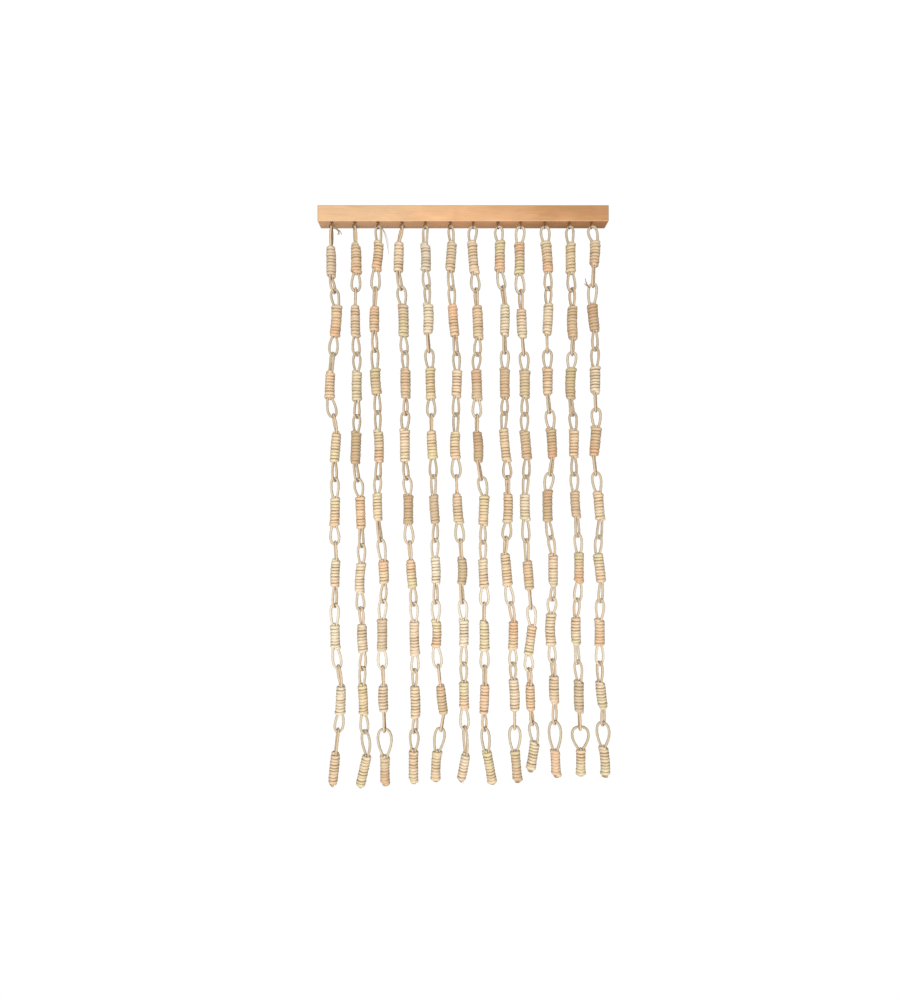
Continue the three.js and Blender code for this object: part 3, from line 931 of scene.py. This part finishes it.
class CURTAIN_OT_bar(bpy.types.Operator):
    """Planes the wooden bar, eases its edges and drills it for the screw eyes."""

    bl_idname = "curtain.bar"
    bl_label = "Wooden Bar"

    DRILL_LENGTH = 0.03
    SHARP = math.radians(40)

    def execute(self, context):
        look = context.scene.curtain_bar
        middle = (BAR_LOW + BAR_HIGH) / 2
        bpy.ops.object.select_all(action="DESELECT")
        bpy.ops.mesh.primitive_cube_add(size=1, location=middle)
        bar = context.object
        bar.name = "wooden_bar"
        bar.data.name = "wooden_bar"
        bar.scale = BAR_HIGH - BAR_LOW
        apply_place(bar)
        bpy.ops.object.mode_set(mode="EDIT")
        bpy.ops.mesh.select_all(action="SELECT")
        bpy.ops.mesh.bevel(offset=look.ease, segments=4, profile=0.5, affect="EDGES")
        bpy.ops.object.mode_set(mode="OBJECT")

        cutters = []
        for row in STRANDS:
            bpy.ops.object.select_all(action="DESELECT")
            place = (row["hook"] * MM, HOOK_Y, BAR_LOW.z)
            bpy.ops.mesh.primitive_cylinder_add(
                vertices=16, radius=look.hole, depth=self.DRILL_LENGTH, location=place)
            cutters.append(context.object)
        for cutter in cutters:
            cutter.select_set(True)
        bpy.ops.object.join()
        drill = context.object
        activate(bar)
        cut = bar.modifiers.new("drilled", "BOOLEAN")
        cut.object = drill
        cut.solver = "EXACT"
        bpy.ops.object.modifier_apply(modifier=cut.name)
        bpy.data.objects.remove(drill)
        activate(bar)
        bpy.ops.object.shade_smooth_by_angle(angle=self.SHARP)
        hand_over(bar, "bar_wood", bar_finish(look), "bar")
        return {"FINISHED"}


class CURTAIN_OT_eyes(bpy.types.Operator):
    """Bends one screw eye from wire and sets a copy above each strand."""

    bl_idname = "curtain.eyes"
    bl_label = "Screw Eyes"

    WIRE_END = math.radians(38)
    RING_STEPS = 40
    BEND_STEPS = 8
    MERGE = 0.00001
    SHARP = math.radians(50)
    COLLAR_RIM = math.radians(60)
    COLLAR_EASE = 0.35

    def execute(self, context):
        look = context.scene.curtain_eyes
        cord = context.scene.curtain_cord
        first = self.bend_eye(context, look, cord)
        finish = eye_finish(look)
        pieces = [first]
        for _ in STRANDS[1:]:
            activate(first)
            bpy.ops.object.duplicate(linked=False)
            pieces.append(context.object)
        for index, (eye, row) in enumerate(zip(pieces, STRANDS)):
            eye.name = numbered("screw_eye", index)
            eye.data.name = eye.name
            eye.location = (row["hook"] * MM, HOOK_Y, 0)
            eye.rotation_euler = (0, 0, math.radians(row["turn"][0]))
            apply_place(eye)
            hand_over(eye, "hook_metal", finish, numbered("hook", index))
        return {"FINISHED"}

    def bend_eye(self, context, look, cord):
        """An eye that faces the front, with its shank on the vertical axis."""
        ring = look.inner + look.wire
        middle = FIRST_CROWN_Z - cord.radius + look.inner
        lean = math.asin(look.bend / (ring + look.bend))
        neck = math.sqrt(ring ** 2 + 2 * ring * look.bend)
        points = []
        for turn in np.linspace(self.WIRE_END, FULL_TURN - lean, self.RING_STEPS):
            points.append((ring * math.sin(turn), middle + ring * math.cos(turn)))
        for turn in np.linspace(lean, math.pi / 2, self.BEND_STEPS)[1:]:
            x = look.bend * math.sin(turn) - look.bend
            points.append((x, middle + neck - look.bend * math.cos(turn)))
        points.append((0, BAR_LOW.z + look.shank))
        line = bpy.data.curves.new("wire", "CURVE")
        line.dimensions = "3D"
        line.bevel_depth = look.wire
        line.bevel_resolution = 3
        line.use_fill_caps = True
        wire = line.splines.new("POLY")
        wire.points.add(len(points) - 1)
        for point, (x, z) in zip(wire.points, points):
            point.co = (x, 0, z, 1)
        eye = bpy.data.objects.new("wire", line)
        context.scene.collection.objects.link(eye)
        activate(eye)
        bpy.ops.object.convert(target="MESH")
        eye = context.object
        self.join_collar(context, look, eye)
        bpy.ops.object.mode_set(mode="EDIT")
        bpy.ops.mesh.select_all(action="SELECT")
        bpy.ops.mesh.remove_doubles(threshold=self.MERGE)
        bpy.ops.mesh.normals_make_consistent(inside=False)
        bpy.ops.object.mode_set(mode="OBJECT")
        bpy.ops.object.shade_smooth_by_angle(angle=self.SHARP)
        return eye

    def join_collar(self, context, look, eye):
        """A rounded collar that closes the pilot hole from below."""
        bpy.ops.object.select_all(action="DESELECT")
        place = (0, 0, BAR_LOW.z - look.collar_depth / 2)
        bpy.ops.mesh.primitive_cylinder_add(
            vertices=24, radius=look.collar, depth=look.collar_depth, location=place)
        collar = context.object
        bpy.ops.object.mode_set(mode="EDIT")
        bpy.ops.mesh.select_all(action="SELECT")
        bpy.ops.mesh.edges_select_sharp(sharpness=self.COLLAR_RIM)
        bpy.ops.mesh.bevel(offset=look.collar_depth * self.COLLAR_EASE, segments=3, affect="EDGES")
        bpy.ops.object.mode_set(mode="OBJECT")
        activate(eye)
        collar.select_set(True)
        bpy.ops.object.join()


class CURTAIN_OT_strands(bpy.types.Operator):
    """Winds the twelve strands of cord links."""

    bl_idname = "curtain.strands"
    bl_label = "Cord Strands"

    def execute(self, context):
        cord = context.scene.curtain_cord
        finish = cord_finish(cord)
        for index, row in enumerate(STRANDS):
            strand = wind_strand(row, index, cord)
            hand_over(strand, "cord_fibre", finish, numbered("strand", index))
        return {"FINISHED"}


class CURTAIN_OT_stage(bpy.types.Operator):
    """Sets the soft light, the white screen, the floor and the camera."""

    bl_idname = "curtain.stage"
    bl_label = "Stage"

    SENSOR = 36
    FLOOR_THICK = 0.04

    def execute(self, context):
        look = context.scene.curtain_stage
        self.lights(context, look)
        self.floor(context, look)
        data = bpy.data.cameras.new("photo_camera")
        data.sensor_width = self.SENSOR
        data.lens = look.lens
        camera = bpy.data.objects.new("photo_camera", data)
        camera.location = look.camera_place
        camera.rotation_euler = (math.pi / 2, 0, 0)
        context.scene.collection.objects.link(camera)
        context.scene.camera = camera
        context.scene.view_settings.view_transform = "Standard"
        return {"FINISHED"}

    def lights(self, context, look):
        world = bpy.data.worlds.new("studio")
        context.scene.world = world
        world.use_nodes = True
        nodes, links = world.node_tree.nodes, world.node_tree.links
        sky = nodes["Background"]
        sky.inputs["Color"].default_value = (1, 1, 1, 1)
        way = nodes.new("ShaderNodeTexCoord")
        split = nodes.new("ShaderNodeSeparateXYZ")
        fade = nodes.new("ShaderNodeMapRange")
        ends = (*look.screen_edge, look.room, look.screen)
        for name, value in zip(("From Min", "From Max", "To Min", "To Max"), ends):
            fade.inputs[name].default_value = value
        links.new(way.outputs["Generated"], split.inputs[0])
        links.new(split.outputs["Y"], fade.inputs["Value"])
        links.new(fade.outputs[0], sky.inputs["Strength"])
        low, high = CAD_BOX
        self.panel(context, "front_light", look.key_place, (low + high) / 2, look.key_size, look.key_power)

    def floor(self, context, look):
        """A pale floor with rounded edges, which ends below the bar's back."""
        thick = self.FLOOR_THICK
        bpy.ops.object.select_all(action="DESELECT")
        place = (0, -look.floor_side / 2, -look.floor_drop - thick / 2)
        bpy.ops.mesh.primitive_cube_add(size=1, location=place)
        floor = context.object
        floor.name = "pale_floor"
        floor.scale = (look.floor_side, look.floor_side, thick)
        apply_place(floor)
        bpy.ops.object.mode_set(mode="EDIT")
        bpy.ops.mesh.select_all(action="SELECT")
        bpy.ops.mesh.bevel(offset=thick / 4, segments=3, affect="EDGES")
        bpy.ops.object.mode_set(mode="OBJECT")
        finish = Finish("pale_floor")
        finish.shade("Base Color", opaque(look.floor_pale))
        finish.shade("Roughness", 0.9)
        floor.data.materials.append(finish.material)

    def panel(self, context, name, place, target, size, power):
        data = bpy.data.lights.new(name, "AREA")
        data.energy = power
        data.size = size
        lamp = bpy.data.objects.new(name, data)
        lamp.location = place
        lamp.rotation_euler = (Vector(target) - Vector(place)).to_track_quat("-Z", "Y").to_euler()
        context.scene.collection.objects.link(lamp)


class CURTAIN_PT_panel(bpy.types.Panel):
    """Lists the steps of the curtain and their sizes and colours."""

    bl_label = "Cord Link Curtain"
    bl_idname = "CURTAIN_PT_panel"
    bl_space_type = "VIEW_3D"
    bl_region_type = "UI"
    bl_category = "Curtain"

    def draw(self, context):
        for operator, name in STEPS:
            box = self.layout.box()
            box.operator(operator.bl_idname)
            settings = getattr(context.scene, name)
            for value in settings.bl_rna.properties:
                if value.identifier not in ("rna_type", "name"):
                    box.prop(settings, value.identifier)


STEPS = (
    (CURTAIN_OT_bar, "curtain_bar"),
    (CURTAIN_OT_eyes, "curtain_eyes"),
    (CURTAIN_OT_strands, "curtain_cord"),
    (CURTAIN_OT_stage, "curtain_stage"),
)
SETTINGS = (
    ("curtain_bar", CurtainBarSettings),
    ("curtain_eyes", CurtainEyeSettings),
    ("curtain_cord", CurtainCordSettings),
    ("curtain_stage", CurtainStageSettings),
)


def register():
    for name, group in SETTINGS:
        bpy.utils.register_class(group)
        setattr(bpy.types.Scene, name, PointerProperty(type=group))
    for operator, _ in STEPS:
        bpy.utils.register_class(operator)
    bpy.utils.register_class(CURTAIN_PT_panel)


def unregister():
    bpy.utils.unregister_class(CURTAIN_PT_panel)
    for operator, _ in reversed(STEPS):
        bpy.utils.unregister_class(operator)
    for name, group in reversed(SETTINGS):
        delattr(bpy.types.Scene, name)
        bpy.utils.unregister_class(group)


def main():
    register()
    bpy.ops.curtain.bar()
    bpy.ops.curtain.eyes()
    bpy.ops.curtain.strands()
    bpy.ops.curtain.stage()


if __name__ == "__main__":
    main()
